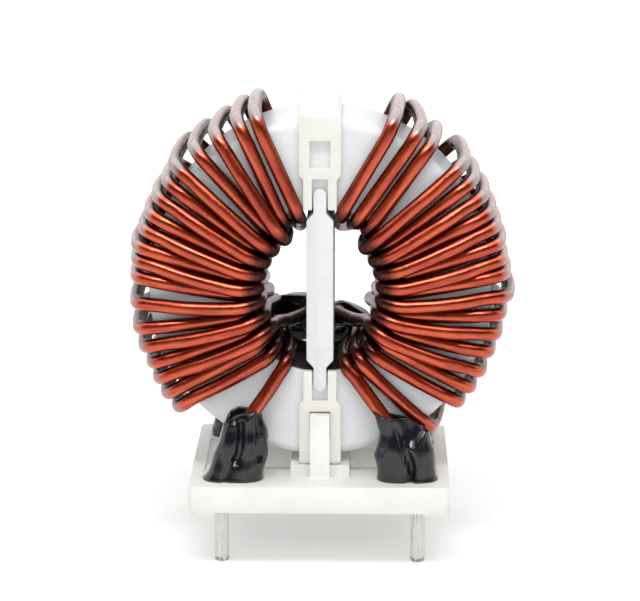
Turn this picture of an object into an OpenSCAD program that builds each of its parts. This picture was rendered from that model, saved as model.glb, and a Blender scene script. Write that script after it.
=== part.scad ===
// Toroidal common-mode choke standing on a four-pin base.
// Millimetres. X runs left to right, +Y to the back, +Z up.
// Origin: middle of the footprint, on the board the base feet stand on.

/* [Ring] */
// height of the pedestal that the ring stands on, above the base
stand_h = 1.0; // [0.6:0.1:3]
// outer diameter of the plastic case
case_d = 38.2; // [34:0.1:42]
// bore of the plastic case
bore_d = 18.4; // [15:0.1:22]
// depth of the case from face to face
case_depth = 13.4; // [10:0.1:18]
// wall of the case
case_wall = 0.9; // [0.6:0.1:1.5]
// rounding of the outer edges of the case
case_edge = 1.0; // [0.4:0.1:1.2]

/* [Wire] */
// diameter of the enamelled wire
wire_d = 1.5; // [1.2:0.05:1.6]
// how far the wire bows off the rim between the two faces
rim_bow = 0.35; // [0:0.05:0.8]

/* [Clips and divider] */
// width of a clip
clip_w = 4.66; // [4:0.02:6]
// sheet thickness of a clip
clip_t = 0.9; // [0.6:0.05:1.2]
// thickness of the divider across the bore
divider_t = 3.0; // [2:0.1:3.2]
// width of the divider tongues
tongue_w = 1.44; // [1:0.02:1.6]

/* [Base] */
// base outside the pins, at the left and right
edge_x = 3.5; // [3:0.1:6]
// base outside the pins, at the front and back
edge_y = 3.9; // [3:0.1:6]
// height of the base above the board, feet included
base_h = 3.4; // [2.5:0.1:4]
// height of the corner feet
foot_h = 0.4; // [0.2:0.1:0.8]

/* [Pins] */
// diameter of a pin
pin_d = 1.6; // [1.2:0.05:1.8]
// pin spacing, left to right
pin_dx = 22.0; // [20:0.1:24]
// pin spacing, front to back
pin_dy = 18.4; // [16:0.1:20]
// how far the pins stand out under the feet
pin_out = 6.2; // [3:0.1:8]

/* [Hidden] */

fit = 0.03;               // running clearance between round parts that fit
R = case_d / 2;
rb = bore_d / 2;
hd = case_depth / 2;
wr = wire_d / 2;
px = pin_dx / 2;
py = pin_dy / 2;
base_w = pin_dx + 2 * edge_x;
base_l = pin_dy + 2 * edge_y;
axis_z = base_h + stand_h + clip_t + R;     // height of the ring axis
function mix(a, b, t) = a + (b - a) * t;
function clamp(t) = min(1, max(0, t));
function unit(v) = v / norm(v);

// a point by radius from the ring axis, depth and angle from the top; side s is -1 left, 1 right
function to_xyz(s, p) = [s * p[0] * sin(p[2]), p[1], axis_z + p[0] * cos(p[2])];
// a point by its distance in from the pin of a corner, and its height above the base
function by_pin(sx, sy, p) = [sx * (px - p[0]), sy * (py - p[1]), base_h + p[2]];

// ---- Colours ----
IVORY = [0.93, 0.92, 0.86];
WHITE = [0.90, 0.91, 0.92];
METAL = [0.42, 0.43, 0.45];
FOAM = [0.25, 0.26, 0.28];
ENAMEL = [0.70, 0.22, 0.10];
TIN = [0.72, 0.71, 0.68];
BLACK = [0.06, 0.07, 0.08];

// =====================================================================
// Ring: tape-wound core between two foam rings, in a plastic cup with a flat lid
// =====================================================================
core_r1 = R - case_wall - 0.2;      // outer radius of the core
core_r0 = rb + case_wall + 0.2;     // inner radius of the core
lid_t = case_wall;
foam_t = 0.5;
core_h = case_depth - case_wall - lid_t - 2 * foam_t;
core_y = -hd + case_wall + foam_t;
bore_edge = 0.5;

// turned about the ring axis: local x is radius, local y runs to the back
module ring() translate([0, 0, axis_z]) rotate([-90, 0, 0]) rotate_extrude($fn = 180) children();

module corner_out(r) difference() { square(r); circle(r, $fn = 48); }

module case_cup() color(WHITE) ring() difference() {
    translate([rb, -hd]) square([R - rb, case_depth - lid_t]);
    translate([rb + case_wall, -hd + case_wall]) square([R - rb - 2 * case_wall, case_depth]);
    translate([R - case_edge, -hd + case_edge]) mirror([0, 1]) corner_out(case_edge);
    translate([rb + bore_edge, -hd + bore_edge]) mirror([1, 0]) mirror([0, 1]) corner_out(bore_edge);
}

module case_lid() color(WHITE) ring() difference() {
    translate([rb, hd - lid_t]) square([R - rb, lid_t]);
    translate([R - 0.85, hd - 0.85]) corner_out(0.85);
    translate([rb + bore_edge, hd - bore_edge]) mirror([1, 0]) corner_out(bore_edge);
}

module core() color(METAL) ring()
    translate([core_r0, core_y]) square([core_r1 - core_r0, core_h]);

module cushion(y) color(FOAM) ring() translate([core_r0, y]) square([core_r1 - core_r0, foam_t]);
module cushion_front() cushion(core_y - foam_t);
module cushion_rear() cushion(core_y + core_h);

// =====================================================================
// Clips: a saddle plate with a windowed frame and two legs on each face
// =====================================================================
frame_low = R - 6.5;      // radius where the frame ends and the legs begin
leg_in = tongue_w / 2 + 0.16;               // inner edge of a leg, from the middle
leg_out = clip_w / 2 - 0.47;                // outer edge of a leg
win_w = clip_w / 2 - 0.03;
win_low = R - 5.3;
win_high = R - 2.25;
clip_y = hd + clip_t;     // outside of a clip face

// outline of one face: frame, window and the two legs, radius along y
module clip_face_2d() difference() {
    union() {
        polygon([[-clip_w / 2, R + clip_t - 0.25], [-clip_w / 2 + 0.25, R + clip_t],
                 [clip_w / 2 - 0.25, R + clip_t], [clip_w / 2, R + clip_t - 0.25],
                 [clip_w / 2, frame_low + 0.45], [clip_w / 2 - 0.4, frame_low],
                 [-clip_w / 2 + 0.4, frame_low], [-clip_w / 2, frame_low + 0.45]]);
        for (s = [-1, 1]) translate([s * (leg_in + leg_out) / 2 - (leg_out - leg_in) / 2, rb - 0.05])
            square([leg_out - leg_in, frame_low - rb + 0.3]);
    }
    translate([-win_w / 2, win_low]) square([win_w, win_high - win_low]);
    translate([-leg_in, frame_low - 0.5]) square([2 * leg_in, 0.25]);
}

module clip() color(IVORY) difference() {
    union() {
        for (s = [-1, 1]) translate([0, s * (hd + clip_t / 2), axis_z]) rotate([90, 0, 0])
            linear_extrude(clip_t, center = true) clip_face_2d();
        translate([-clip_w / 2, -hd - 0.1, axis_z + R + 0.02])
            cube([clip_w, case_depth + 0.2, clip_t - 0.27]);
        translate([-clip_w / 2 + 0.25, -hd - 0.1, axis_z + R + 0.02])
            cube([clip_w - 0.5, case_depth + 0.2, clip_t - 0.02]);
    }
    // soft front and back edges of the saddle
    for (s = [0, 1]) mirror([0, s, 0]) translate([0, clip_y - 0.6, axis_z + R + clip_t - 0.6])
        rotate([0, 90, 0]) linear_extrude(clip_w + 1, center = true) mirror([1, 0]) corner_out(0.6);
}

module clip_top() clip();
module clip_bottom() translate([0, 0, 2 * axis_z]) mirror([0, 0, 1]) clip();

// =====================================================================
// Divider: thick plate across the bore, tongues between the clip legs
// =====================================================================
plate_z = rb - 1.3;       // straight part of the plate, above and below the axis
rib_z = rb - 0.04;        // thin middle rib reaches the bore
tongue_z = rb + 2.25;

module divider() color(IVORY) translate([0, 0, axis_z]) {
    rotate([90, 0, 0]) linear_extrude(2 * clip_y, center = true)
        polygon([for (m = [-1, 1]) for (p = [[1.5, plate_z], [tongue_w / 2, plate_z + 0.85], [tongue_w / 2, rib_z],
                 [-tongue_w / 2, rib_z], [-tongue_w / 2, plate_z + 0.85], [-1.5, plate_z]])
                 [-m * p[0] * (abs(p[0]) > 1 ? divider_t / 3 : 1), -m * p[1]]]);
    for (s = [-1, 1], m = [-1, 1]) translate([0, s * (hd + fit + clip_t / 2 - fit / 2), 0]) rotate([90, 0, 0])
        linear_extrude(clip_t - fit, center = true) {
            translate([-tongue_w / 2, m > 0 ? rib_z - 0.3 : -tongue_z + tongue_w / 2])
                square([tongue_w, tongue_z - tongue_w / 2 - rib_z + 0.3]);
            translate([0, m * (tongue_z - tongue_w / 2)]) circle(tongue_w / 2, $fn = 40);
        }
}

// =====================================================================
// Base: plate with feet, recess, windows, pedestal and two snap posts
// =====================================================================
rim_w = 1.4;              // side rim of the recess
ledge = 4.0;              // front and back ledge of the recess
recess = 0.35;
pad_x = px - 4.8;         // the pin pads begin here, from the middle
pad_y = py - 2.2;
hole_x = px - 1.6;        // outer side of the windows
hole_y = hd - 3;
ped_w = clip_w + 1.94;
ped_z = axis_z - R - clip_t;        // underside of the lower clip rests here
post_w = 2.2;
post_y0 = clip_y + 0.1;
post_t = 1.4;
post_z = axis_z - win_low - 0.1;
hook_z0 = axis_z - win_high + 0.05;
shank_w = 1.2;            // square part of a pin

module rounded_plate(w, l, h, r) linear_extrude(h) {
    square([w - 2 * r, l], center = true);
    square([w, l - 2 * r], center = true);
    for (x = [-1, 1], y = [-1, 1]) translate([x * (w / 2 - r), y * (l / 2 - r)]) circle(r, $fn = 48);
}

module post() rotate([90, 0, 90]) linear_extrude(post_w, center = true)
    polygon([[post_y0, foot_h + 0.8], [post_y0, hook_z0], [hd + 0.12, hook_z0], [hd + 0.12, hook_z0 + 0.5],
             [post_y0, post_z - 0.3], [post_y0 + 0.25, post_z], [post_y0 + post_t, post_z],
             [post_y0 + post_t, foot_h + 0.8]]);

module base() color(IVORY) difference() {
    union() {
        difference() {
            translate([0, 0, foot_h]) rounded_plate(base_w, base_l, base_h - foot_h, 0.7);
            // shallow recess inside the rim
            translate([0, 0, base_h - recess]) rounded_plate(base_w - 2 * rim_w, base_l - 2 * ledge, 1, 0.5);
            // windows under the ring, either side of the pedestal
            for (s = [-1, 1]) translate([s > 0 ? ped_w / 2 + 0.1 : -hole_x, -hole_y, -1])
                cube([hole_x - 0.1 - ped_w / 2, 2 * hole_y, base_h + 3]);
            // hollow underside
            translate([-ped_w / 2, -hole_y, -1]) cube([ped_w, 2 * hole_y, base_h / 2 + 0.9]);
        }
        // pads around the pins, level with the ledge
        for (x = [-1, 1], y = [-1, 1])
            translate([x > 0 ? pad_x : -base_w / 2 + 0.7, y > 0 ? pad_y : -base_l / 2 + 0.7, foot_h + 0.5])
                cube([base_w / 2 - pad_x - 0.7, base_l / 2 - pad_y - 0.7, base_h - foot_h - 0.5]);
        // corner feet
        for (x = [-1, 1], y = [-1, 1]) translate([x * (base_w / 2 - 1.6), y * (base_l / 2 - 1.6), 0])
            rounded_plate(2.8, 2.8, foot_h + 0.5, 0.4);
        // pedestal
        translate([-ped_w / 2, -post_y0, base_h / 2 - 0.1]) cube([ped_w, 2 * post_y0, ped_z - base_h / 2 + 0.1]);
        for (s = [0, 1]) mirror([0, s, 0]) post();
    }
    for (x = [-1, 1], y = [-1, 1]) translate([x * pin_dx / 2, y * pin_dy / 2, -1])
        linear_extrude(base_h + 2) square(shank_w + 2 * fit, center = true);
}

// =====================================================================
// Pins and solder joints: a pin is round below the base and square where it
// goes through, the end of the wire stands beside it, and solder holds both
// =====================================================================
pin_top = base_h + 1.5;
wire_dx = shank_w / 2 + wr + 0.3;   // pin centre to wire centre
joint_z = [base_h + 0.5, base_h + 1.3];
joint_r = 1.05;

module pin(sx, sy) color(TIN) translate([sx * px, sy * py, 0]) {
    rotate_extrude($fn = 48)
        polygon([[0, -pin_out], [pin_d / 2 - 0.15, -pin_out], [pin_d / 2, -pin_out + 0.2],
                 [pin_d / 2, 0], [pin_d / 2 - 0.05, foot_h], [0, foot_h]]);
    translate([0, 0, foot_h - 0.2]) linear_extrude(pin_top - foot_h + 0.2) square(shank_w, center = true);
}

module joint(sx, sy) color(TIN) translate([sx * px, sy * py, joint_z[0]]) linear_extrude(joint_z[1] - joint_z[0])
    difference() {
        union() {
            circle(joint_r, $fn = 48);
            translate([-sx * wire_dx, 0]) circle(joint_r, $fn = 48);
            translate([-sx * wire_dx / 2, 0]) square([wire_dx, 2 * joint_r - 0.1], center = true);
        }
        square(shank_w + 2 * fit, center = true);
        translate([-sx * wire_dx, 0]) circle(wr + fit, $fn = 48);
    }

module pin_front_left() pin(-1, -1);
module pin_front_right() pin(1, -1);
module pin_rear_left() pin(-1, 1);
module pin_rear_right() pin(1, 1);
module joint_front_left() joint(-1, -1);
module joint_front_right() joint(1, -1);
module joint_rear_left() joint(-1, 1);
module joint_rear_right() joint(1, 1);

// =====================================================================
// Windings: each is one wire wound in two layers. The first layer climbs
// from the bottom of the bore to the top next to the case, the second
// comes back down over it and leaves at the rear.
// =====================================================================
face_y = hd + wr + 0.05;            // wire centre on a face
rim_r = R + wr + rim_bow;           // wire centre at the corners of the rim
bore_r = [rb - wr - 0.03, rb - wr - 0.03 - wire_d - 0.03];    // first and second layer in the bore
bend_o = 1.6 * wire_d;              // wire bend over the outer edge
bend_i = [0.9 * wire_d, 1.46 * wire_d];     // wire bend into the bore, by layer

// second layer rises over its neighbours towards the bore
function rise(l, r) = l == 0 ? 0 : min(wire_d, 1.04 * wire_d * sqrt(max(0, 1 - pow(r / (R - 0.9), 2))));

// one turn is [angle at the rim, angle at the bore, layer, bow, lean], angles in degrees from
// the top; it stands off the rim by its bow, and its lean is added to the angle behind the rim
function face_angle(t, r) = mix(t[0], t[1], clamp((R - 0.1 - r) / (R - rb - 0.5)));

// the three stations of a bend, outside the arc so that its sides touch it
function bend(rc, yc, rho, a0, a1) = [for (k = [1, 3, 5])
    let (a = mix(a0, a1, k / 6), q = rho / cos((a1 - a0) / 6)) [rc + q * cos(a), yc + q * sin(a)]];

// stations [radius, y] of a turn over the front face, rim to bore
function face_run(t) = let (l = t[2], yi = face_y + rise(l, rb), ri = bore_r[l] + bend_i[l]) concat(
    bend(rim_r + t[3] - bend_o, -(face_y - bend_o), bend_o, 0, -90),
    [for (k = l == 0 ? [0.43] : [0.65, 0.34]) let (r = mix(rb, R, k)) [r, -face_y - rise(l, r)]],
    bend(ri, -(yi - bend_i[l]), bend_i[l], -90, -180));

// cylinder coordinates [radius, y, angle]; the rear run is the front run seen in a mirror
function front_run(t) = [for (p = face_run(t)) [p[0], p[1], face_angle(t, p[0])]];
function rear_run(t) = let (f = face_run(t), n = len(f), rear = [t[0] + t[4], t[1]])
    [for (k = [1 : n]) let (p = f[n - k]) [p[0], -p[1], face_angle(rear, p[0])]];
function bore_run(a, b) = let (l = max(a[2], b[2]), up = l == a[2] ? 0 : 3.4)
    [[bore_r[l], -2, a[1] + up], [bore_r[l], 2.2, mix(a[1] + up, b[1], 0.5)]];
function rim_run(t) = [[rim_r + 0.25 + t[3], 0, t[0] + t[4] / 2]];

function coil(turns) = [for (i = [0 : len(turns) - 1]) each concat(
    i == 0 ? [] : front_run(turns[i]),
    i == len(turns) - 1 ? [] : concat(bore_run(turns[i], turns[i + 1]),
                                      rear_run(turns[i + 1]), rim_run(turns[i + 1])))];

// smooth curve through hand-set points
function spline(p, n) = let (m = len(p) - 1) concat([for (i = [0 : m - 1]) for (k = [0 : n - 1])
    let (t = k / n, a = p[max(0, i - 1)], b = p[i], c = p[i + 1], d = p[min(m, i + 2)])
    0.5 * (2 * b + (c - a) * t + (2 * a - 5 * b + 4 * c - d) * t * t + (3 * b - a - 3 * c + d) * t * t * t)],
    [p[m]]);

// round wire swept along its stations; the section is turned by the ring's own tangent
function frame_u(q, t) = let (r = [q[0], q[2] - axis_z], e = [-r[1], 0, r[0]] / max(0.01, norm(r)))
    unit(e - (e * t) * t);
module sweep_wire(path, r, n = 8) {
    m = len(path);
    pts = [for (i = [0 : m - 1])
        let (t = unit(path[min(m - 1, i + 1)] - path[max(0, i - 1)]), u = frame_u(path[i], t), v = cross(t, u))
        for (j = [0 : n - 1]) let (a = 360 * (j + 0.5) / n) path[i] + r * (cos(a) * u + sin(a) * v)];
    faces = concat([[for (j = [0 : n - 1]) j]], [[for (j = [0 : n - 1]) m * n - 1 - j]],
        [for (i = [0 : m - 2], j = [0 : n - 1]) let (k = (j + 1) % n)
            [i * n + j, (i + 1) * n + j, (i + 1) * n + k, i * n + k]]);
    polyhedron(pts, faces, convexity = 10);
}

// turns in the order they are wound: [rim, bore, bow, lean where the turn leans], lead first
left_first = [[0, 155.2, 0], [130.7, 143.1, 0.9], [125.3, 132.6, 0.9], [114.7, 121.2, 0.5], [102.9, 108.5, 0.6, -1.5],
              [86.5, 92.7, 0.3], [76.7, 81, 0.7], [66, 69.5, 0.4], [54.5, 57.2, 0.5], [41.1, 40.5, 1.0, -2.5],
              [25.7, 27.6, 1.1, -1], [19.9, 16.1, 1.1]];
left_second = [[33.5, 34, 0.9, -2.5], [48.9, 49.4, 1.2, -3.5], [60.1, 63, 0.5], [71.3, 75.5, 0.4], [81.3, 88, 0.4],
               [94.9, 101, 0.4, -1.5], [109, 115, 0.6, -1.5], [120, 127.6, 0.7]];
right_first = [[0, 161, 0], [142, 150.5, 0.2, -4], [129.9, 140, 0.1], [124, 129.6, 0.1], [110.9, 117, 0],
               [98.1, 104, 0.1], [86, 91.2, 0.3], [75.3, 79.3, 0.3], [65.2, 68, 0.4], [53.7, 55.8, 0.7],
               [36.7, 38, 0.7, 1.5], [31.1, 27.6, 1.3, -2.5], [23.1, 16.1, 1.2, 1]];
right_second = [[47.9, 46.2, 1.2, -1.5], [59.6, 61.2, 0.6], [70, 74, 0.3], [80.7, 86.6, 0.1], [92, 99.4, 0.7, -1],
                [104.7, 112.4, 0.1], [117.8, 125.4, 0.1]];

function layer(turns, l) = [for (t = turns) [t[0], t[1], l, t[2], len(t) > 3 ? t[3] : 0]];
left_turns = concat(layer(left_first, 0), layer(left_second, 1));
right_turns = concat(layer(right_first, 0), layer(right_second, 1));

// leads: up from the front pin to the bore, and from the rear of the bore down to the rear pin
left_lead_in = concat(
    [for (p = [[0, 0, 0.35], [0, 0, 1.5], [0.2, 0.02, 3.1], [0.75, 0.1, 5.1], [1.55, 0.25, 6.8]])
        by_pin(-1, -1, p + [wire_dx, 0, 0])],
    [to_xyz(-1, [mix(rb, R, 0.33), -face_y - 0.55, 153.2]), to_xyz(-1, [mix(rb, R, 0.09), -face_y - 0.1, 154.7])]);
right_lead_in = concat(
    [for (p = [[0, 0, 0.35], [0, 0, 1.5], [0.25, 0, 3.1], [1, 0.1, 5.2], [2.15, 0.3, 6.9]])
        by_pin(1, -1, p + [wire_dx, 0, 0])],
    [to_xyz(1, [mix(rb, R, 0.25), -face_y - 0.5, 156.7]), to_xyz(1, [mix(rb, R, 0.07), -face_y - 0.1, 159.4])]);
rear_out = 160.5;                           // angle at which the second layer leaves the bore
function lead_out(s) = concat(
    [for (p = [[rb - 2.75, 1, 156.2], [rb - 2.28, 2.6, 155.7], [rb - 0.68, 3.45, 158], [mix(rb, R, 0.26), 3.5, 156.9]])
        to_xyz(s, [p[0], face_y + p[1], p[2]])],
    [for (p = [[2.45, -1.2, 6.6], [0.35, -0.25, 3.3], [0, 0, 1.5], [0, 0, 0.35]]) by_pin(s, 1, p + [wire_dx, 0, 0])]);

function winding_path(s, turns, lead_in) = let (first = turns[0], last = turns[len(turns) - 1]) concat(
    spline(lead_in, 2),
    [for (p = bend(bore_r[0] + bend_i[0], -(face_y - bend_i[0]), bend_i[0], -90, -180))
        to_xyz(s, [p[0], p[1], first[1]])],
    [for (p = coil(turns)) to_xyz(s, p)],
    [for (q = [[0, -2, 0.2], [0, 2.2, 0.6], [0.05, 5.8, 0.95]])
        to_xyz(s, [bore_r[1] - q[0], q[1], mix(last[1], rear_out, q[2])])],
    spline(lead_out(s), 2));

module winding(s, turns, lead_in) color(ENAMEL) sweep_wire(winding_path(s, turns, lead_in), wr);

module winding_left() winding(-1, left_turns, left_lead_in);
module winding_right() winding(1, right_turns, right_lead_in);

// =====================================================================
// Sleeves: thin tubes of soft plastic shrunk over the joints, flattened,
// with a fold down the front between the pin and the wire
// =====================================================================
sleeve_wall = 0.35;
sides = 24;

// station: [centre, half width, half depth, tilt of the width axis, depth of the front fold]
function sleeve_ring(st, t, inset) = let (
    A = unit([1, 0, st[3]]), B = unit(cross(t, A)), q = 0.72)
    [for (j = [0 : sides - 1]) let (a = 360 * j / sides, c = cos(a), s = sin(a),
        fold = st[4] * exp(-pow(c / 0.28, 2)),
        w = (st[1] - inset) * sign(c) * pow(abs(c), q), d = (st[2] - inset - (s < 0 ? fold : 0.4 * fold)) * sign(s) * pow(abs(s), q))
        st[0] + w * A + d * B];
module sleeve(stations) color(BLACK) {
    m = len(stations);
    axes = [for (i = [0 : m - 1]) unit(stations[min(m - 1, i + 1)][0] - stations[max(0, i - 1)][0])];
    pts = concat([for (i = [0 : m - 1]) each sleeve_ring(stations[i], axes[i], 0)],
                 [for (i = [0 : m - 1]) each sleeve_ring(stations[i], axes[i], sleeve_wall)]);
    o = m * sides;
    n = sides;
    faces = concat(
        [for (i = [0 : m - 2], j = [0 : n - 1]) let (k = (j + 1) % n)
            each [[i * n + j, (i + 1) * n + j, (i + 1) * n + k], [i * n + j, (i + 1) * n + k, i * n + k]]],
        [for (i = [0 : m - 2], j = [0 : n - 1]) let (k = (j + 1) % n)
            each [[o + i * n + j, o + i * n + k, o + (i + 1) * n + k], [o + i * n + j, o + (i + 1) * n + k, o + (i + 1) * n + j]]],
        [for (j = [0 : n - 1]) let (k = (j + 1) % n) each [[j, k, o + k], [j, o + k, o + j]]],
        [for (j = [0 : n - 1]) let (k = (j + 1) % n, e = (m - 1) * n)
            each [[e + j, o + e + k, e + k], [e + j, o + e + j, o + e + k]]]);
    polyhedron(pts, faces, convexity = 10);
}

module sleeve_front_left() sleeve([
    [by_pin(-1, -1, [1.25, 0, 0]), 3.0, 2.0, 0, 0.1], [by_pin(-1, -1, [1.6, 0, 1.8]), 2.9, 1.95, 0, 0.3],
    [by_pin(-1, -1, [2.35, 0.05, 3.6]), 2.85, 1.9, 0.03, 0.4], [by_pin(-1, -1, [2.8, 0.1, 5.4]), 2.5, 1.8, 0.1, 0.3],
    [by_pin(-1, -1, [2.7, 0.2, 7.0]), 2.3, 1.65, 0.25, 0.1]]);
module sleeve_front_right() sleeve([
    [by_pin(1, -1, [1.2, 0, 0]), 3.15, 2.0, 0, 0.3], [by_pin(1, -1, [1.5, 0, 1.8]), 3.3, 1.95, -0.05, 0.45],
    [by_pin(1, -1, [1.6, 0, 3.6]), 3.2, 1.85, -0.2, 0.4], [by_pin(1, -1, [1.95, 0.05, 4.9]), 3.15, 1.8, -0.38, 0.2],
    [by_pin(1, -1, [2.25, 0.1, 5.9]), 3.3, 1.75, -0.48, 0.05]]);

// the rear sleeves reach from the bore down to the pins
function rear_sleeve(s, w, dz) = concat(
    [for (p = [[rb - 2.83, 1, 154.4, w, 1.5], [rb - 2.51, 2.4, 153.8, w, 1.5], [rb - 1.32, 3.5, 156, w, 1.45]])
        [to_xyz(s, [p[0], face_y + p[1], p[2]]) + [0, 0, dz], p[3], p[4], 0, 0]],
    [for (p = [[mix(rb, R, 0.08), 3.7, 157, 1.7, 1.45, 0], [mix(rb, R, 0.43), 3.4, 155.3, 1.9, 1.5, 0.1]])
        [to_xyz(s, [p[0], face_y + p[1], p[2]]), p[3], p[4], p[5], 0]],
    [[by_pin(s, 1, [3.4, -1.1, 6.0]), 2.3, 1.6, 0.1, 0.05], [by_pin(s, 1, [1.8, -0.4, 3.6]), 2.75, 1.8, 0, 0.1],
     [by_pin(s, 1, [1.1, 0, 1.6]), 3.0, 1.95, 0, 0.2], [by_pin(s, 1, [1.1, 0, 0]), 3.05, 2.0, 0, 0.1]]);
module sleeve_rear_left() sleeve(rear_sleeve(-1, 1.75, 0.2));
module sleeve_rear_right() sleeve(rear_sleeve(1, 1.6, -0.3));

// =====================================================================
base();
case_cup();
case_lid();
core();
cushion_front();
cushion_rear();
clip_top();
clip_bottom();
divider();
winding_left();
winding_right();
pin_front_left();
pin_front_right();
pin_rear_left();
pin_rear_right();
joint_front_left();
joint_front_right();
joint_rear_left();
joint_rear_right();
sleeve_front_left();
sleeve_front_right();
sleeve_rear_left();
sleeve_rear_right();
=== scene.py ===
import cmath
import math

import bmesh
import bpy
import numpy as np
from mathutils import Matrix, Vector


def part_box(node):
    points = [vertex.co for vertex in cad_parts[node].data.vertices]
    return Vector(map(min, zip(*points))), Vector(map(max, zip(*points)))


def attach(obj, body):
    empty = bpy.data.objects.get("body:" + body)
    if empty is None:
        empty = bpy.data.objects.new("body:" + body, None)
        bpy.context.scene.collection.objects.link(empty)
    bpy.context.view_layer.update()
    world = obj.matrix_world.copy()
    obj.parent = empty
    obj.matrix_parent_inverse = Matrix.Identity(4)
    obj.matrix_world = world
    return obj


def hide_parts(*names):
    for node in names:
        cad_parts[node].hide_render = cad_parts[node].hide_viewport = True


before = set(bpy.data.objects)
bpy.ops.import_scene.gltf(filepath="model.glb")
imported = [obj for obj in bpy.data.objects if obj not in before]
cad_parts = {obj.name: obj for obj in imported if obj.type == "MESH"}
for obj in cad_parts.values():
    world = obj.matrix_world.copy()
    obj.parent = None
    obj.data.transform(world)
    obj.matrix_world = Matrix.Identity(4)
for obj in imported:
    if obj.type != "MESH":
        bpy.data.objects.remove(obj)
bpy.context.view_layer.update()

# =====================================================================
# Sizes, in millimetres
# =====================================================================
MM = 0.001
low_corner, high_corner = (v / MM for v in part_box("case_cup"))
AXIS_Z = (low_corner.z + high_corner.z) / 2          # height of the ring axis
CASE_R = (high_corner.x - low_corner.x) / 2          # outer radius of the case
CASE_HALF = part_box("case_lid")[1].y / MM             # half depth of the case
BORE_R = 9.2                                         # radius of the bore of the case
BASE_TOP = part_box("sleeve_front_left")[0].z / MM     # the sleeves stand on the base
FLOOR_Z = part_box("pin_front_left")[0].z / MM         # tips of the pins
PIN_R = 0.8
PIN_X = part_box("pin_front_right")[1].x / MM - PIN_R
PIN_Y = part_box("pin_rear_right")[1].y / MM - PIN_R

WIRE_D = 1.5
WIRE_R = WIRE_D / 2
ENAMEL_R = WIRE_R + 0.04                             # radius over the enamel
WIRE_SIDES = 20
WIRE_STEP = 0.5                                      # spacing of the rings along the wire
WIRE_DX = 1.65                                       # centre of a pin to the wire end beside it

# =====================================================================
# Shader maths as expressions
# =====================================================================


class Sock:
    """A node socket that can be used in expressions."""

    def __init__(self, mat, socket):
        self.mat, self.socket = mat, socket

    def _op(self, kind, *values):
        return self.mat.node("ShaderNodeMath", {"operation": kind}, dict(enumerate(values)))

    def __add__(self, o): return self._op("ADD", self, o)
    def __radd__(self, o): return self._op("ADD", o, self)
    def __sub__(self, o): return self._op("SUBTRACT", self, o)
    def __rsub__(self, o): return self._op("SUBTRACT", o, self)
    def __mul__(self, o): return self._op("MULTIPLY", self, o)
    def __rmul__(self, o): return self._op("MULTIPLY", o, self)
    def __pow__(self, o): return self._op("POWER", self, o)
    def max(self, o): return self._op("MAXIMUM", self, o)
    def min(self, o): return self._op("MINIMUM", self, o)

    def between(self, a, b):
        """0 at a, 1 at b, smooth and held outside."""
        return self.mat.node("ShaderNodeMapRange", {"interpolation_type": "SMOOTHSTEP"},
                             {"Value": self, "From Min": a, "From Max": b})


class Finish:
    """A node material, or a world, built piece by piece."""

    SOCKETS = {"color": "Base Color", "rough": "Roughness", "metal": "Metallic", "coat": "Coat Weight",
               "coat_rough": "Coat Roughness", "coat_ior": "Coat IOR", "ior": "IOR",
               "specular": "Specular IOR Level", "normal": "Normal"}

    def __init__(self, name, world=None):
        self.data = world or bpy.data.materials.new(name)
        self.data.use_nodes = True
        self.tree = self.data.node_tree
        self.tree.nodes.clear()

    def node(self, kind, settings=None, values=None, out=0):
        """A node of any type: settings first, then values or links by socket name or number."""
        n = self.tree.nodes.new(kind)
        for key, value in (settings or {}).items():
            setattr(n, key, value)
        for key, value in (values or {}).items():
            socket = n.inputs[key]
            if isinstance(value, Sock):
                self.tree.links.new(value.socket, socket)
            else:
                socket.default_value = value
        return Sock(self, n.outputs[out]) if n.outputs else n

    def place(self):
        """Object coordinates in millimetres."""
        at = self.node("ShaderNodeTexCoord", out="Object")
        return self.node("ShaderNodeVectorMath", {"operation": "SCALE"}, {0: at, "Scale": 1 / MM})

    def attribute(self, name, out):
        """Values that the mesh carries at its points."""
        return self.node("ShaderNodeAttribute", {"attribute_name": name}, out=out)

    def stretch(self, at, x, y, z):
        return self.node("ShaderNodeVectorMath", {"operation": "MULTIPLY"}, {0: at, 1: (x, y, z)})

    def split(self, vector):
        return [self.node("ShaderNodeSeparateXYZ", {}, {0: vector}, out=k) for k in range(3)]

    def from_axis(self, x, z):
        """Distance from the axis of the ring."""
        return (x * x + (z - AXIS_Z) * (z - AXIS_Z)) ** 0.5

    def noise(self, at, scale, detail, rough, distort=0.0):
        return self.node("ShaderNodeTexNoise", {}, {"Vector": at, "Scale": scale, "Detail": detail,
                                                     "Roughness": rough, "Distortion": distort})

    def blend(self, amount, a, b):
        """Colour a to colour b."""
        return self.node("ShaderNodeMix", {"data_type": "RGBA"}, {0: amount, 6: a, 7: b}, out=2)

    def bump(self, height, depth):
        """A normal from a height of 0 to 1 and its depth in millimetres."""
        return self.node("ShaderNodeBump", {}, {"Height": height, "Distance": depth * MM})

    def principled(self, **values):
        return self.node("ShaderNodeBsdfPrincipled", {}, {self.SOCKETS[k]: v for k, v in values.items()})

    def surface(self, shader):
        self.node("ShaderNodeOutputMaterial", {}, {"Surface": shader})
        return self.data


def srgb(*screen):
    """A colour as it is read on a screen, 0 to 255, for a socket."""
    shares = [c / 255 for c in screen]
    return (*(c / 12.92 if c <= 0.04045 else ((c + 0.055) / 1.055) ** 2.4 for c in shares), 1.0)


# =====================================================================
# Finishes. Noise scales are per millimetre, bump depths in millimetres.
# =====================================================================
BORE_FLOOR = AXIS_Z - 7.8                            # below this the bottom of the bore is painted dark, as shade


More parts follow.
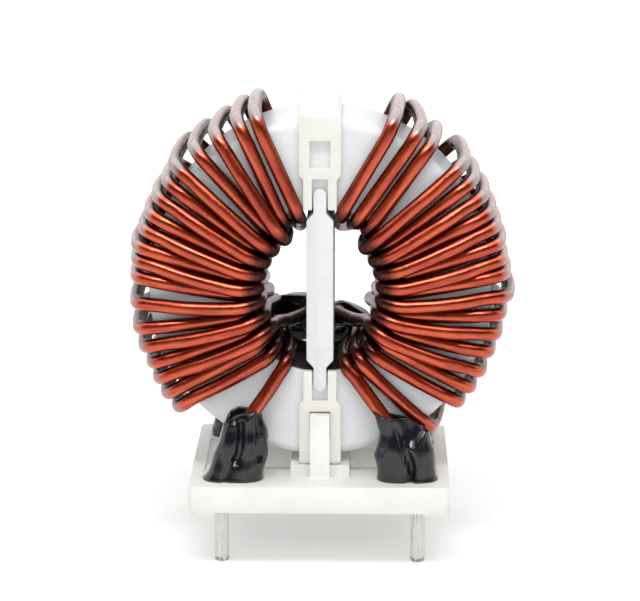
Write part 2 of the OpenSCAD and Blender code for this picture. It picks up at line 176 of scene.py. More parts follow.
def enamel_finish():
    """Copper under red-orange enamel: glossy, with the streaks that drawing and varnishing leave,
    painted shade between the turns and at the ends in the bore, and a painted grey reflection over the
    rim."""
    m = Finish("enamelled_copper")
    along = m.attribute("along", "Vector")
    streaks = m.noise(m.stretch(along, 2.4, 2.4, 0.25), 1.0, 4, 0.6)
    clouds = m.noise(m.stretch(along, 0.9, 0.9, 0.35), 1.0, 3, 0.55)
    fine = m.noise(m.stretch(along, 8, 8, 1.2), 1.0, 2, 0.6)
    waves = m.noise(m.stretch(along, 0.35, 0.35, 0.55), 1.0, 2, 0.5)
    x, y, z = m.split(m.place())
    radius = m.from_axis(x, z)

    # painted sheen on what lies over the rim, a grey reflection painted into the colour: full on its
    # shoulders, less across its top and sides
    shoulder, top = y.max(y * -1).between(2, 6), z.between(AXIS_Z + 6, AXIS_Z + 15)
    painted_sheen = radius.between(CASE_R + 1.0, CASE_R + 2.0) * (0.25 + 0.75 * shoulder.max(0.5 * top))
    # the painted sheen is thinner halfway down the ring than at its top and on the lowest turns
    ends = z.between(AXIS_Z - 4, AXIS_Z + 14).max(1 - z.between(AXIS_Z - 15.5, AXIS_Z - 13.5))
    painted_sheen = painted_sheen * (0.55 + 0.45 * ends)
    # painted shade: the last millimetre before the bore, and the side of the wire that is turned inward
    bore = 1 - m.attribute("to_bore", "Fac").between(0.1, 1.3)
    outward = m.split(along)[0] + 0.12 * (clouds - 0.5)
    inward_shade = 1 - outward.between(0.32 * WIRE_R, 0.84 * WIRE_R)

    streaky = (streaks * 0.65 + clouds * 0.35).between(0.40, 0.60)
    body = m.blend(streaky, srgb(184, 54, 20), srgb(229, 92, 46))
    # painted reflection: over the rim the enamel is blended to grey, as the white surroundings would show
    # in it
    sheened_colour = m.blend(painted_sheen * 0.92, body, srgb(156, 147, 146))
    # painted shade: the ends of the turns go dark brown where they run into the bore
    bore_shaded_colour = m.blend(bore * 0.9, sheened_colour, srgb(62, 22, 17))
    # painted shade on the inward side of each wire: dark red over the face, near black over the rim
    valley_shade_colour = m.blend(radius.between(CASE_R + 0.1, CASE_R + 0.5), srgb(66, 10, 4), srgb(26, 18, 17))
    return m.surface(m.principled(
        color=m.blend(inward_shade * 0.88, bore_shaded_colour, valley_shade_colour),
        metal=0.92 - 0.8 * painted_sheen,
        rough=0.21 + 0.14 * clouds,
        coat=(0.45 + 0.55 * painted_sheen) * (1 - 0.7 * inward_shade) * (1 - 0.6 * bore), coat_rough=0.06, coat_ior=2.0,
        normal=m.bump(streaks * 0.7 + fine * 0.3 + waves * 4, 0.026)))


def plastic_finish(name, low, high, rough, depth, shaded_bore=False):
    """Moulded plastic: a faint cloudiness in the colour and a fine orange-peel surface."""
    m = Finish(name)
    at = m.place()
    cloud = m.noise(at, 0.22, 3, 0.6)
    peel = m.noise(at, 1.6, 3, 0.55)
    color = m.blend(cloud.between(0.35, 0.65), srgb(*low), srgb(*high))
    if shaded_bore:
        # painted shade, dark in the bottom of the bore
        x, y, z = m.split(at)
        painted_bore_shade = ((1 - m.from_axis(x, z).between(BORE_R + 0.1, BORE_R + 0.3))
                * (1 - z.between(BORE_FLOOR - 0.4, BORE_FLOOR + 0.4)))
        color = m.blend(painted_bore_shade, color, srgb(34, 24, 23))
    return m.surface(m.principled(color=color, rough=rough + 0.12 * (peel - 0.5),
                                  normal=m.bump(peel, depth)))


def sleeve_finish():
    """Shrunk black tubing: glossy with a faint blue, fine drawn wrinkles."""
    m = Finish("shrunk_tubing")
    at = m.place()
    wrinkle = m.noise(m.stretch(at, 1.5, 1.5, 0.5), 1.0, 3, 0.5, 0.6)
    dust = m.noise(at, 3.0, 3, 0.6)
    color = m.blend(dust.between(0.45, 0.7), srgb(20, 23, 27), srgb(33, 37, 42))
    return m.surface(m.principled(color=color, rough=0.07 + 0.06 * dust, ior=1.65,
                                  normal=m.bump(wrinkle, 0.02)))


def pin_finish():
    """Tinned pin: pale grey, drawn lines down its length, a dull cut tip."""
    m = Finish("tinned_pin")
    at = m.place()
    lines = m.noise(m.stretch(at, 5, 5, 0.35), 1.0, 3, 0.65)
    spots = m.noise(at, 2.2, 3, 0.6)
    scratch = lines.between(0.56, 0.66)
    tip = 1 - m.split(at)[2].between(FLOOR_Z, FLOOR_Z + 0.9)
    clean = m.blend(scratch * 0.5, srgb(238, 237, 230), srgb(150, 148, 141))
    color = m.blend((tip * spots.between(0.35, 0.6)).min(0.7), clean, srgb(110, 100, 88))
    return m.surface(m.principled(color=color, metal=0.2, rough=0.38 + 0.2 * spots,
                                  normal=m.bump(lines, 0.025)))


def solder_finish():
    """Solder: bright, with a skin that has set unevenly."""
    m = Finish("solder")
    skin = m.noise(m.place(), 1.8, 3, 0.6)
    color = m.blend(skin, srgb(168, 168, 164), srgb(205, 205, 200))
    return m.surface(m.principled(color=color, metal=0.9, rough=0.3 + 0.2 * skin,
                                  normal=m.bump(skin, 0.08)))


def core_finish():
    """Wound alloy tape: thin rings round the axis."""
    m = Finish("wound_tape")
    x, y, z = m.split(m.place())
    turns = m.node("ShaderNodeMath", {"operation": "FRACT"}, {0: m.from_axis(x, z) * 9})
    color = m.blend(turns.between(0.1, 0.9), srgb(98, 100, 104), srgb(140, 142, 145))
    return m.surface(m.principled(color=color, metal=0.85, rough=0.35 + 0.1 * turns,
                                  normal=m.bump(turns, 0.02)))


def foam_finish():
    """Foam: open cells, dark and dull."""
    m = Finish("foam_ring")
    cells = m.node("ShaderNodeTexVoronoi", {}, {"Vector": m.place(), "Scale": 3.0})
    color = m.blend(cells.between(0.05, 0.5), srgb(40, 42, 45), srgb(74, 77, 80))
    return m.surface(m.principled(color=color, rough=0.9, normal=m.bump(cells, 0.1)))


enamel = enamel_finish()
tubing = sleeve_finish()
base_plastic = plastic_finish("base_plastic", (246, 246, 240), (250, 250, 246), 0.42, 0.012)
clip_plastic = plastic_finish("clip_plastic", (241, 240, 231), (247, 246, 238), 0.38, 0.012)
divider_plastic = plastic_finish("divider_plastic", (235, 236, 236), (240, 241, 241), 0.38, 0.012)
# the case carries painted shade in the bottom of its bore
case_plastic = plastic_finish("case_plastic", (236, 238, 240), (243, 244, 246), 0.36, 0.016,
                              shaded_bore=True)
tinned = pin_finish()
solder = solder_finish()
wound_tape = core_finish()
foam = foam_finish()

# =====================================================================
# Meshes
# =====================================================================


def placed(name, data):
    """A new object in the scene."""
    ob = bpy.data.objects.new(name, data)
    bpy.context.scene.collection.objects.link(ob)
    return ob


def piece(name, verts, faces, finish, smooth=True):
    """A mesh piece, from points in millimetres."""
    mesh = bpy.data.meshes.new(name)
    mesh.from_pydata([tuple(v) for v in np.asarray(verts) * MM], [], [tuple(f) for f in faces])
    mesh.materials.append(finish)
    mesh.polygons.foreach_set("use_smooth", [smooth] * len(mesh.polygons))
    mesh.update()
    return placed(name, mesh)


def stand_for(ob, node):
    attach(ob, "root")
    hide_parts(node)


def skin(rows, round_, closed=False):
    """Quads over rows of points, each row a ring; closed joins the last row to the first."""
    return [(i * round_ + j, i * round_ + (j + 1) % round_,
             (i + 1) % rows * round_ + (j + 1) % round_, (i + 1) % rows * round_ + j)
            for i in range(rows if closed else rows - 1) for j in range(round_)]


def unit(v):
    return v / np.maximum(np.linalg.norm(v, axis=-1, keepdims=True), 1e-9)


def mix(a, b, t):
    return a + (b - a) * t


def held(t):
    """t, held between 0 and 1."""
    return min(1, max(0, t))


def polar(side, p):
    """A point by radius from the ring axis, depth and angle from the top, in degrees."""
    a = math.radians(p[2])
    return np.array([side * p[0] * math.sin(a), p[1], AXIS_Z + p[0] * math.cos(a)])


def by_pin(sx, sy, p):
    """A point by its distance in from a pin, and its height above the base."""
    return np.array([sx * (PIN_X - p[0]), sy * (PIN_Y - p[1]), BASE_TOP + p[2]])


def resample(points, step, finer=12):
    """Even points along a smooth curve through the given ones, and how far along it they are."""
    p = np.asarray(points, float)
    gap = np.linalg.norm(np.diff(p, axis=0), axis=1)
    p = p[np.concatenate([[True], gap > 1e-6])]
    t = np.concatenate([[0], np.cumsum(np.sqrt(np.linalg.norm(np.diff(p, axis=0), axis=1)))])
    m = np.gradient(p, t, axis=0)
    fine = []
    for i in range(len(p) - 1):
        h = t[i + 1] - t[i]
        u = np.linspace(0, 1, finer, endpoint=False)[:, None]
        fine.append((2 * u**3 - 3 * u**2 + 1) * p[i] + (u**3 - 2 * u**2 + u) * h * m[i]
                    + (3 * u**2 - 2 * u**3) * p[i + 1] + (u**3 - u**2) * h * m[i + 1])
    fine = np.vstack(fine + [p[-1:]])
    s = np.concatenate([[0], np.cumsum(np.linalg.norm(np.diff(fine, axis=0), axis=1))])
    at = np.linspace(0, s[-1], max(2, int(round(s[-1] / step))) + 1)
    return np.stack([np.interp(at, s, fine[:, k]) for k in range(3)], 1), at


def wire(name, line, at):
    """Round wire along a line, its section carried without twist, ends closed."""
    tangent = unit(np.gradient(line, axis=0))
    # away from the middle of the wound ring
    middle = line - [0, 0, AXIS_Z]
    middle[:, 1] = 0
    middle = unit(middle) * (CASE_R + BORE_R) / 2 + [0, 0, AXIS_Z]
    outward = line - middle
    outward = unit(outward - tangent * np.sum(outward * tangent, 1, keepdims=True))
    side = unit(np.cross(tangent[0], [0.3, 1.0, 0.2]))
    normals, round_ = [], np.arange(WIRE_SIDES) * 2 * math.pi / WIRE_SIDES
    for along_it in tangent:
        side = unit(side - along_it * (side @ along_it))
        up = np.cross(along_it, side)
        normals.append(np.cos(round_)[:, None] * side + np.sin(round_)[:, None] * up)
    normals = np.array(normals)
    last = (len(line) - 1) * WIRE_SIDES
    ends = [tuple(range(WIRE_SIDES))[::-1], tuple(last + j for j in range(WIRE_SIDES))]
    ob = piece(name, (line[:, None, :] + ENAMEL_R * normals).reshape(-1, 3),
               skin(len(line), WIRE_SIDES) + ends, enamel)
    # where a point is on the wire, in millimetres: outward, sideways and along it
    sideways = np.cross(tangent, outward)
    where = np.stack([ENAMEL_R * np.einsum("ijk,ik->ij", normals, outward),
                      ENAMEL_R * np.einsum("ijk,ik->ij", normals, sideways),
                      np.repeat(at[:, None], WIRE_SIDES, 1)], -1).astype(np.float32)
    ob.data.attributes.new("along", "FLOAT_VECTOR", "POINT").data.foreach_set("vector", where.ravel())
    # how far it still has to run to the bore, in millimetres, 0 inside
    from_axis = np.hypot(line[:, 0], line[:, 2] - AXIS_Z)
    inside = (np.abs(tangent[:, 1]) > 0.5) & (from_axis < (BORE_R + CASE_R) / 2)
    to_bore = np.abs(at[:, None] - at[inside]).min(1)
    ob.data.attributes.new("to_bore", "FLOAT", "POINT").data.foreach_set(
        "value", np.repeat(to_bore, WIRE_SIDES).astype(np.float32))
    return ob


# =====================================================================
# Windings: the wire of each side, wound in two layers. The first layer
# climbs from the bottom of the bore to the top next to the case, the
# second comes back down over it and leaves at the rear.
# =====================================================================
CLEAR = 0.03                                         # gap that is left between wires
FACE_Y = CASE_HALF + WIRE_R + 0.05                   # wire centre on a face
RIM_R = CASE_R + WIRE_R + 0.35                       # wire centre at the corners of the rim
RIM_ARCH = 0.25                                      # how far a turn arches over the rim
LAYER_R = [BORE_R - WIRE_R - CLEAR, BORE_R - WIRE_R - CLEAR - WIRE_D - CLEAR]
BEND_OUT = 1.6 * WIRE_D                              # bend over the outer edge
BEND_IN = [0.9 * WIRE_D, 1.46 * WIRE_D]              # bend into the bore, by layer
BEND_STEPS = 6
FACE_OUT, FACE_IN = CASE_R - 0.1, BORE_R + 0.4       # radii between which a turn crosses a face
STRAIGHT_TO, BOWED_FROM = 40, 75                     # turns up to here cross it in a straight line,
BOWED = 0.65                                         # and from here on only by this share
LAYER_UP = 3.4                                       # degrees by which the layer changes in the bore

# turns in the order they are wound, in degrees from the top: [angle at the rim, angle at the bore,
# how far it stands off the rim, how much further round it is behind the rim]
LEFT_FIRST = [[0, 155.2, 0, 0], [130.7, 143.1, 0.9, 0], [125.3, 132.6, 0.9, 0], [114.7, 121.2, 0.5, 0],
              [102.9, 108.5, 0.6, -1.5], [86.5, 92.7, 0.3, 0], [76.7, 81, 0.7, 0], [66, 69.5, 0.4, 0],
              [54.5, 57.2, 0.5, 0], [41.1, 40.5, 1.0, -2.5], [25.7, 27.6, 1.1, -1], [19.9, 16.1, 1.1, 0]]
LEFT_SECOND = [[33.5, 34, 0.9, -2.5], [48.9, 49.4, 1.2, -3.5], [60.1, 63, 0.5, 0], [71.3, 75.5, 0.4, 0],
               [81.3, 88, 0.4, 0], [94.9, 101, 0.4, -1.5], [109, 115, 0.6, -1.5], [120, 127.6, 0.7, 0]]
RIGHT_FIRST = [[0, 161, 0, 0], [142, 150.5, 0.2, -4], [129.9, 140, 0.1, 0], [124, 129.6, 0.1, 0],
               [110.9, 118.6, 0, 0], [98.1, 106.2, 0.1, 0], [85.2, 90.8, 0.3, 0], [75.3, 79.3, 0.3, 0],
               [65.2, 68, 0.4, 0], [53.7, 55.8, 0.7, 0], [36.7, 38, 0.7, 1.5], [31.1, 27.6, 1.3, -2.5],
               [23.1, 16.1, 1.2, 1]]
RIGHT_SECOND = [[47.9, 46.2, 1.2, -1.5], [59.6, 61.2, 0.6, 0], [70, 74, 0.3, 0], [80.7, 86.6, 0.1, 0],
                [92, 99.4, 0.7, -1], [104.7, 112.4, 0.1, 0], [117.8, 125.4, 0.1, 0]]
REAR_OUT = 160.5                                     # where the second layer leaves the bore


def rise(layer, r):
    """The second layer rises over its neighbours towards the bore."""
    if layer == 0:
        return 0.0
    return min(WIRE_D, 1.04 * WIRE_D * math.sqrt(max(0, 1 - (r / (CASE_R - 0.9)) ** 2)))


def face_angle(rim, bore, r):
    """Angle at a radius where a turn crosses the face: straight for the upper turns, and for the
    lower ones nearer to a spiral."""
    spiral = mix(rim, bore, held((FACE_OUT - r) / (FACE_OUT - FACE_IN)))
    start, end = cmath.rect(FACE_IN, math.radians(bore)), cmath.rect(FACE_OUT, math.radians(rim))
    span, r = end - start, min(FACE_OUT, max(FACE_IN, r))
    half = (start * span.conjugate()).real
    share = (math.sqrt(half**2 + abs(span)**2 * (r**2 - FACE_IN**2)) - half) / abs(span)**2
    line = math.degrees(cmath.phase(start + share * span))
    return mix(spiral, line, mix(1, BOWED, held((rim - STRAIGHT_TO) / (BOWED_FROM - STRAIGHT_TO))))


def bend(rc, yc, rho, a0, a1):
    """Radius and depth along a bend round a centre."""
    angles = [math.radians(mix(a0, a1, k / BEND_STEPS)) for k in range(BEND_STEPS + 1)]
    return [(rc + rho * math.cos(a), yc + rho * math.sin(a)) for a in angles]


def face_run(layer, bow):
    """Radius and depth of a turn over the front face, from the rim into the bore."""
    y_in, r_in = FACE_Y + rise(layer, BORE_R), LAYER_R[layer] + BEND_IN[layer]
    middle = [(r, -FACE_Y - rise(layer, r)) for r in (mix(BORE_R, CASE_R, k) for k in (0.65, 0.5, 0.34))]
    return (bend(RIM_R + bow - BEND_OUT, -(FACE_Y - BEND_OUT), BEND_OUT, 0, -90) + middle
            + bend(r_in, -(y_in - BEND_IN[layer]), BEND_IN[layer], -90, -180))


def rim_run(rim, bow, lean):
    """Over the rim from the rear to the front, in a shallow arch."""
    edge = FACE_Y - BEND_OUT
    return [(RIM_R + bow + RIM_ARCH * (1 - k * k), edge * k, rim + lean * (1 + k) / 2)
            for k in (0.6, 0.3, 0, -0.3, -0.6)]


def bore_run(a, b):
    """Through the bore from the front of one turn to the rear of the next."""
    layer = max(a[4], b[4])
    up = 0 if layer == a[4] else LAYER_UP
    return [(LAYER_R[layer], -2, a[1] + up), (LAYER_R[layer], 2.2, mix(a[1] + up, b[1], 0.5))]


def winding(side, turns, lead_in, lead_out):
    """The whole line of one wire, and how far along it its points are."""
    run = [(r, y, turns[0][1])
           for r, y in bend(LAYER_R[0] + BEND_IN[0], -(FACE_Y - BEND_IN[0]), BEND_IN[0], -90, -180)]
    for a, b in zip(turns, turns[1:]):
        rim, bore, bow, lean, layer = b
        face = face_run(layer, bow)
        run += bore_run(a, b)
        run += [(r, -y, face_angle(rim + lean, bore, r)) for r, y in reversed(face)]
        run += rim_run(rim, bow, lean)
        run += [(r, y, face_angle(rim, bore, r)) for r, y in face]
    run += [(LAYER_R[1] - inward, y, mix(turns[-1][1], REAR_OUT, k))
            for inward, y, k in ((0, -2, 0.2), (0.25, 2.2, 0.58), (0.75, 5.8, 0.95))]
    line, at = resample(lead_in + [polar(side, p) for p in run] + lead_out, WIRE_STEP)
    line[1:-1] = (line[:-2] + 2 * line[1:-1] + line[2:]) / 4
    return line, at


def front_lead(side, up_from_pin, to_bore):
    """From beside a front pin up over the face to the bore: points by the pin, then [share of the
    way out from the bore, how far off the face, angle]."""
    pin = [(0, 0, 0.35), (0, 0, 1.5)] + up_from_pin
    return ([by_pin(side, -1, (x + WIRE_DX, y, z)) for x, y, z in pin]
            + [polar(side, (mix(BORE_R, CASE_R, share), -FACE_Y - off, a)) for share, off, a in to_bore])


def rear_lead(side):
    """Out of the bore at the rear and down beside its pin."""
    bore = [(BORE_R - 3.0, 0.6, 161), (BORE_R - 2.28, 2.6, 155.7), (BORE_R - 0.68, 3.45, 158),
            (mix(BORE_R, CASE_R, 0.26), 3.5, 156.9)]
    pin = [(2.45, -1.2, 6.6), (0.35, -0.25, 3.3), (0, 0, 1.5), (0, 0, 0.35)]
    return ([polar(side, (r, FACE_Y + y, a)) for r, y, a in bore]
            + [by_pin(side, 1, (x + WIRE_DX, y, z)) for x, y, z in pin])


left_lead = front_lead(-1, [(0.2, 0.02, 3.1), (0.75, 0.1, 5.1), (1.55, 0.25, 6.8)],
                       [(0.33, 0.55, 153.2), (0.09, 0.1, 154.7)])
right_lead = front_lead(1, [(0.25, 0, 3.1), (1, 0.1, 5.2), (2.15, 0.3, 6.9)],
                        [(0.25, 0.5, 156.7), (0.07, 0.1, 159.4)])

for name, side, first, second, lead in (("left", -1, LEFT_FIRST, LEFT_SECOND, left_lead),
                                        ("right", 1, RIGHT_FIRST, RIGHT_SECOND, right_lead)):
    turns = [(*t, 0) for t in first] + [(*t, 1) for t in second]
    stand_for(wire("wire_" + name, *winding(side, turns, lead, rear_lead(side))),
              "winding_" + name)

# =====================================================================
# Sleeves: soft tubes shrunk over the joints, flattened and creased
# =====================================================================
SLEEVE_WALL = 0.35
FRONT_ROUND, FRONT_UP = 112, 44                      # points round a front sleeve and up it
REAR_ROUND, REAR_STEP = 48, 0.3                      # points round a rear sleeve, spacing along it
FRONT_BOXY, REAR_BOXY = (0.72, 0.8), 0.62            # 1 is an ellipse, less is nearer to a box
FOOT_FLARE, FOOT_HIGH = 0.12, 0.22                   # how the foot spreads on the base
FOLD_BACK, FOLD_SOFT = 1.1, 0.75                     # how far the lip leans back, and how sharply


def at_height(rows, z):
    """The value at a height, from rows of [value, height]."""
    v, h = np.array(sorted(rows, key=lambda r: r[1])).T
    return np.interp(z, h, v)


def at_x(rows, x):
    """The height at x, from rows of [x, height]."""
    v, h = np.array(sorted(rows)).T
    return np.interp(x, v, h)


def gap_to(line, x, z):
    """Distance in the x-z plane from points to a broken line, and how far along it they are."""
    best, share = np.full(x.shape, 1e9), np.zeros(x.shape)
    line = np.array(line, float)
    for i, (a, b) in enumerate(zip(line, line[1:])):
        d = b - a
        t = np.clip(((x - a[0]) * d[0] + (z - a[1]) * d[1]) / (d @ d), 0, 1)
        gap = np.hypot(x - a[0] - t * d[0], z - a[1] - t * d[1])
        share = np.where(gap < best, (i + t) / (len(line) - 1), share)
        best = np.minimum(best, gap)
    return best, share


def boxy(wave, power):
    """A sine or cosine pressed towards a square wave."""
    return np.sign(wave) * np.abs(wave) ** power


def front_sleeve(side, left, right, depth, mouth_front, mouth_rear, fold, creases, swells):
    """A sleeve from its outline: rows of [x, z] down each side, [middle y, half depth, z] up it,
    [x, z] along the front and the rear of its mouth and along the fold over which the lip leans
    back; creases [line, depth, width] and swells [x, z, height, width] on its front."""
    a = np.arange(FRONT_ROUND) * 2 * math.pi / FRONT_ROUND
    up = np.linspace(0, 1, FRONT_UP)[:, None] ** 0.9
    c, s = np.cos(a)[None, :], np.sin(a)[None, :]
    u, v = boxy(c, FRONT_BOXY[0]), boxy(s, FRONT_BOXY[1])
    front = np.clip(0.5 - s / 0.6, 0, 1)
    facing = np.clip(-s * 1.25, 0, 1) ** 0.6

    def surface(inset, t):
        """The sleeve's points at shares t of its height, inset from its outside."""
        guess = np.full(u.shape, max(z for _, z in mouth_rear + mouth_front) - 1.5)
        for _ in range(4):                            # height of the mouth above each side
            x = (at_height(left, guess) * (1 - u) + at_height(right, guess) * (1 + u)) / 2
            guess = front * at_x(mouth_front, x) + (1 - front) * at_x(mouth_rear, x)
        z = BASE_TOP + t * (guess - BASE_TOP)
        x0, x1 = at_height(left, z), at_height(right, z)
        ym, yh = at_height([r[::2] for r in depth], z), at_height([r[1:] for r in depth], z)
        spread = FOOT_FLARE * np.exp(-(z - BASE_TOP) / FOOT_HIGH) - inset
        x = (x0 + x1) / 2 + ((x1 - x0) / 2 + spread) * u
        y = ym + (yh + spread) * v
        push = 0.03 * np.sin(1.1 * x + 1.3 * z)       # faint unevenness all over
        for line, deep, wide in creases:              # they run out at both ends
            gap, share = gap_to(line, x, z)
            ends = np.clip(8 * np.minimum(share + 0.08, 1.08 - share), 0, 1)
            push += deep * np.exp(-(gap / wide) ** 2) * ends
        for px, pz, high, wide in swells:
            push -= high * np.exp(-((x - px) ** 2 + (z - pz) ** 2) / wide ** 2)
        over = np.maximum(z - at_x(fold, x), 0)
        y = y + (push * np.exp(-over / 0.4) + FOLD_BACK * np.tanh(over * FOLD_SOFT)) * facing
        x = x + 0.06 * np.sin(2.3 * z + 4 * s) * (1 - facing) * np.sign(c)
        return np.stack([x, y, z], -1)

    lip = surface(SLEEVE_WALL / 2, up[-1:])
    lip[..., 2] += 0.1
    rows = np.concatenate([surface(0, up), lip, surface(SLEEVE_WALL, up[::-1])])
    faces = skin(len(rows), FRONT_ROUND, closed=True)
    stand_for(piece("tubing_front_" + side, rows.reshape(-1, 3), faces, tubing),
              "sleeve_front_" + side)


front_sleeve(
    "left",
    left=[(-12.95, 3.4), (-12.5, 4.1), (-12.04, 5.5), (-11.47, 7.1), (-10.85, 9), (-10.6, 10),
          (-10.5, 11)],
    right=[(-6.45, 3.4), (-6.23, 4.3), (-5.9, 5.5), (-5.72, 7), (-5.71, 8.2), (-6.0, 9.6), (-6.3, 10.3),
           (-6.6, 11.5)],
    depth=[(-9.3, 2.15, 3.4), (-9.2, 2.1, 5), (-9.15, 2.0, 7), (-9.1, 1.85, 9), (-9.1, 1.75, 11)],
    mouth_front=[(-10.9, 9.7), (-10.57, 9.76), (-10.18, 10.11), (-9.76, 10.45), (-9.28, 10.7),
                 (-8.84, 10.85), (-8.06, 11.0), (-7.5, 11.15), (-7.17, 11.3), (-6.6, 10.9), (-6.3, 10.3)],
    mouth_rear=[(-10.9, 9.7), (-10.57, 9.9), (-9.97, 10.75), (-9.18, 11.1), (-8.06, 11.0), (-7.2, 11.1),
                (-6.3, 10.3)],
    fold=[(-10.9, 9.55), (-10.51, 9.55), (-9.71, 9.7), (-9.1, 9.76), (-8.48, 9.96), (-7.61, 10.74),
          (-6.9, 11.37), (-6.3, 12)],
    creases=[([(-8.75, 10.4), (-8.7, 8.2), (-8.87, 6.8), (-9.25, 5.6)], 0.95, 0.38),
             ([(-9.6, 5.9), (-9.9, 5.0), (-10.3, 4.2), (-10.6, 3.3)], 0.28, 0.5),
             ([(-8.9, 5.7), (-7.9, 5.9), (-6.3, 6.6)], 0.10, 0.7),
             ([(-6.7, 11.3), (-6.75, 8.6), (-6.6, 6)], 0.4, 0.36)],
    swells=[(-10.1, 7.6, 0.3, 1.4), (-7.6, 7.8, 0.35, 1.0), (-8.0, 4.4, 0.15, 1.3),
            (-11.3, 4.6, 0.12, 1.0)])
front_sleeve(
    "right",
    left=[(6.53, 3.4), (6.36, 4.8), (6.16, 6.07), (6.4, 7.46), (6.7, 8.7), (6.35, 9.8), (5.85, 11.2)],
    right=[(13.1, 3.4), (12.98, 4), (12.92, 5.5), (12.76, 6.9), (12.4, 8.0), (12.1, 9), (11.9, 10)],
    depth=[(-9.2, 2.1, 3.4), (-9.2, 2.05, 5), (-9.15, 1.95, 7), (-9.1, 1.8, 9), (-9.1, 1.7, 11)],
    mouth_front=[(5.85, 11.1), (6.44, 10.6), (7.4, 10.6), (8.5, 10.42), (9.1, 10.4), (9.8, 10.45),
                 (10.38, 10.12), (11.04, 9.66), (11.61, 9.2), (12.04, 8.85), (12.4, 8.5)],
    mouth_rear=[(5.85, 11.1), (7.5, 10.5), (9.5, 10.0), (11, 9.5), (12.2, 8.7), (12.5, 8.4)],
    fold=[(5.85, 12), (7.0, 11.2), (7.94, 10.34), (8.57, 9.9), (9.2, 8.7), (9.65, 7.6), (10.05, 7.15),
          (10.5, 7.3), (11.0, 7.9), (11.52, 8.6), (12.07, 9.5), (12.5, 10.1)],
    creases=[([(8.5, 10), (9.28, 7.73), (9.84, 6.35), (10.18, 5.43), (10.3, 4.39), (10.0, 3.3)],
              0.7, 0.38),
             ([(10.05, 6.1), (10.2, 5.3), (10.2, 4.4)], 0.35, 0.45),
             ([(7.2, 10.8), (7.3, 8.5), (7.0, 6.5)], 0.2, 0.4),
             ([(11.9, 8.2), (11.7, 6.6), (11.75, 5)], 0.08, 0.7)],
    swells=[(8.1, 7.0, 0.3, 1.4), (8.2, 4.6, 0.15, 1.3), (11.4, 6.2, 0.3, 1.3)])


def rear_sleeve(name, stations):
    """A sleeve from the bore down to a rear pin: [centre, half width, half depth, how far the
    section turns], shrunk tight round the wire at its upper end."""
    path, _ = resample([st[0] for st in stations], REAR_STEP)
    known = np.cumsum([0] + [np.linalg.norm(b[0] - a[0]) for a, b in zip(stations, stations[1:])])
    share = np.linspace(0, 1, len(path))
    half_w, half_d, turn = (np.interp(share, known / known[-1], values)
                            for values in list(zip(*stations))[1:])
    along_it = unit(np.gradient(path, axis=0))
    a = np.arange(REAR_ROUND) * 2 * math.pi / REAR_ROUND
    c, s = boxy(np.cos(a), REAR_BOXY), boxy(np.sin(a), REAR_BOXY)
    rows = []
    for i, centre in enumerate(path):
        wide = unit(np.array([1.0, 0, turn[i]]))
        deep = unit(np.cross(along_it[i], wide))
        wrinkle = 1 + 0.05 * np.sin(3 * a + 0.9 * i) * math.sin(0.35 * i)
        rows.append(centre + (half_w[i] * wrinkle * c)[:, None] * wide
                    + (half_d[i] * wrinkle * s)[:, None] * deep)
    ob = piece("tubing_rear_" + name, np.vstack(rows), skin(len(rows), REAR_ROUND), tubing)
    wall = ob.modifiers.new("wall", "SOLIDIFY")
    wall.thickness, wall.offset = SLEEVE_WALL * MM, -1
    stand_for(ob, "sleeve_rear_" + name)


# the puckered mouth of each rear sleeve, inside the bore
LEFT_MOUTH = [((-3.0, 7.85, 17.7), 0.02, 0.02, 0), ((-3.0, 7.9, 17.7), 1.9, 1.8, 0),
              ((-3.0, 8.1, 17.7), 2.6, 2.5, 0), ((-3.0, 8.6, 17.7), 2.9, 2.85, 0),
              ((-2.95, 9.7, 17.7), 2.35, 2.6, 0), ((-3.2, 10.7, 17.0), 2.1, 1.9, 0)]
RIGHT_MOUTH = [((2.8, 7.85, 16.9), 0.02, 0.02, -0.6), ((2.8, 7.9, 16.9), 1.6, 1.4, -0.6),
               ((2.8, 8.1, 16.9), 2.3, 2.1, -0.6), ((2.85, 8.6, 16.9), 2.6, 2.4, -0.6),
               ((2.95, 9.7, 16.8), 2.5, 2.3, -0.5), ((3.2, 10.7, 16.4), 2.1, 1.9, -0.3)]
for name, side, mouth in (("left", -1, LEFT_MOUTH), ("right", 1, RIGHT_MOUTH)):
    rear_sleeve(name, [(np.array(centre), *rest) for centre, *rest in mouth] + [
        (polar(side, (mix(BORE_R, CASE_R, 0.08), FACE_Y + 3.7, 157)), 1.8, 1.45, 0),
        (polar(side, (mix(BORE_R, CASE_R, 0.43), FACE_Y + 3.4, 155.3)), 1.9, 1.5, 0.1),
        (by_pin(side, 1, (3.4, -1.1, 6.0)), 2.15, 1.6, 0.1),
        (by_pin(side, 1, (1.9, -0.4, 3.6)), 2.5, 1.8, 0),
        (by_pin(side, 1, (1.1, 0, 1.6)), 3.0, 1.95, 0),
        (by_pin(side, 1, (1.1, 0, 0)), 3.1, 2.0, 0)])

# =====================================================================
# Mouldings: the node's own shape with softened edges
# =====================================================================
SAME_POINT = 2e-6                                    # metres within which points are one
FLAT, SHARP = math.radians(1.0), math.radians(35)    # angles of what is one face, and of an edge


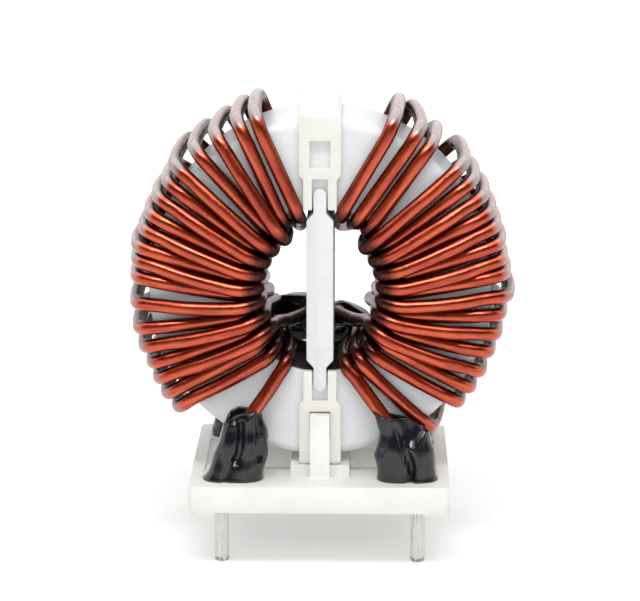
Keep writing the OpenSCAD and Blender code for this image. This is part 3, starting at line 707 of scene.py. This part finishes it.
def moulding(node, width, finish):
    """A copy of a node's mesh with its sharp edges rounded, that stands for it."""
    bm = bmesh.new()
    bm.from_mesh(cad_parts[node].data)
    bmesh.ops.remove_doubles(bm, verts=bm.verts, dist=SAME_POINT)
    bmesh.ops.dissolve_limit(bm, angle_limit=FLAT, verts=bm.verts, edges=bm.edges)
    mesh = bpy.data.meshes.new("moulded_" + node)
    bm.to_mesh(mesh)
    bm.free()
    mesh.materials.clear()
    mesh.materials.append(finish)
    mesh.polygons.foreach_set("use_smooth", [True] * len(mesh.polygons))
    ob = placed("moulded_" + node, mesh)
    bevel = ob.modifiers.new("edges", "BEVEL")
    bevel.width, bevel.segments = width * MM, 2
    bevel.limit_method, bevel.angle_limit = "ANGLE", SHARP
    bevel.use_clamp_overlap = True
    bevel.harden_normals = True
    stand_for(ob, node)


moulding("base", 0.14, base_plastic)
moulding("clip_top", 0.10, clip_plastic)
moulding("clip_bottom", 0.10, clip_plastic)
moulding("divider", 0.12, divider_plastic)

# =====================================================================
# Finishes of the nodes that stay
# =====================================================================
staying = {"case_cup": case_plastic, "case_lid": case_plastic, "core": wound_tape,
           "cushion_front": foam, "cushion_rear": foam}
for corner in ("front_left", "front_right", "rear_left", "rear_right"):
    staying["pin_" + corner] = tinned
    staying["joint_" + corner] = solder
for node, finish in staying.items():
    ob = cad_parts[node]
    for s in ob.material_slots:
        s.material = finish
    if not ob.material_slots:
        ob.data.materials.append(finish)

# =====================================================================
# Floor, light and camera
# =====================================================================
FLOOR_HALF = 3000
NEAR, FAR = 60, 260                                  # the table is pure white from FAR outward


def table_finish():
    """White table: it keeps the shade under the part, and is bright where nothing shades it."""
    m = Finish("white_table")
    at = m.place()
    x, y, z = m.split(at)
    far = ((x * x + y * y) ** 0.5).between(NEAR, FAR)
    color = m.blend(m.noise(at, 0.05, 3, 0.5), srgb(243, 243, 243), srgb(246, 246, 246))
    lit = m.principled(color=color, rough=0.7, specular=0.2)
    glow = m.node("ShaderNodeEmission", {}, {
        "Color": m.blend(far, (0.24, 0.24, 0.24, 1), (1, 1, 1, 1)),
        "Strength": m.node("ShaderNodeLightPath", out="Is Camera Ray")})
    return m.surface(m.node("ShaderNodeAddShader", {}, {0: lit, 1: glow}))


corners = [(x * FLOOR_HALF, y * FLOOR_HALF, FLOOR_Z) for x, y in ((-1, -1), (1, -1), (1, 1), (-1, 1))]
piece("table", corners, [(0, 1, 2, 3)], table_finish(), smooth=False)

world = bpy.data.worlds.new("studio")
bpy.context.scene.world = world
sky = Finish("studio", world)
ray = sky.node("ShaderNodeLightPath", out="Is Camera Ray")
shine = sky.node("ShaderNodeLightPath", out="Is Glossy Ray")
wx, wy, wz = sky.split(sky.node("ShaderNodeTexCoord", out="Generated"))
# what shiny surfaces meet: white above and behind, half lit at the front, dark just below the roof
above, behind = wz.between(0.72, 0.78), wy.between(-0.10, 0.15)
front = 0.55 - 0.5 * wz.between(0.02, 0.30)
room = front + (1 - front) * above.max(behind)
# what lights the rest: more from the front, most from a little above it
ahead = wz * 0.42 - wy * 0.91
fill = 0.37 + 0.17 * (wy * -1).between(0.0, 0.9) + 0.44 * ahead.between(0.55, 1.0)
level = ray + (1 - ray) * (shine * room + (1 - shine) * fill)
background = sky.node("ShaderNodeBackground", {}, {"Color": (1, 1, 1, 1), "Strength": level})
sky.node("ShaderNodeOutputWorld", {}, {"Surface": background})

MIDDLE = (0, 0, 20)                                  # what both lamps are aimed at


def lamp(name, place, size, power):
    data = bpy.data.lights.new(name, "AREA")
    data.shape, data.size, data.size_y = "RECTANGLE", size[0] * MM, size[1] * MM
    data.energy = power
    ob = placed(name, data)
    ob.location = Vector(place) * MM
    ob.rotation_euler = (Vector(MIDDLE) - Vector(place)).to_track_quat("-Z", "Y").to_euler()


lamp("softbox_top", (0, 60, 420), (900, 700), 1.4)
lamp("key", (0, -215, 390), (260, 100), 0.60)

CAMERA_AT = (5.621, -306.495, 91.708)
CAMERA_TURN = (77.124, 0, 1.075)
lens = bpy.data.cameras.new("camera")
lens.lens, lens.sensor_width = 155.576, 36
lens.clip_start, lens.clip_end = 10 * MM, 20000 * MM
camera = placed("camera", lens)
camera.location = Vector(CAMERA_AT) * MM
camera.rotation_euler = [math.radians(a) for a in CAMERA_TURN]
bpy.context.scene.camera = camera
bpy.context.scene.view_settings.view_transform = "Standard"
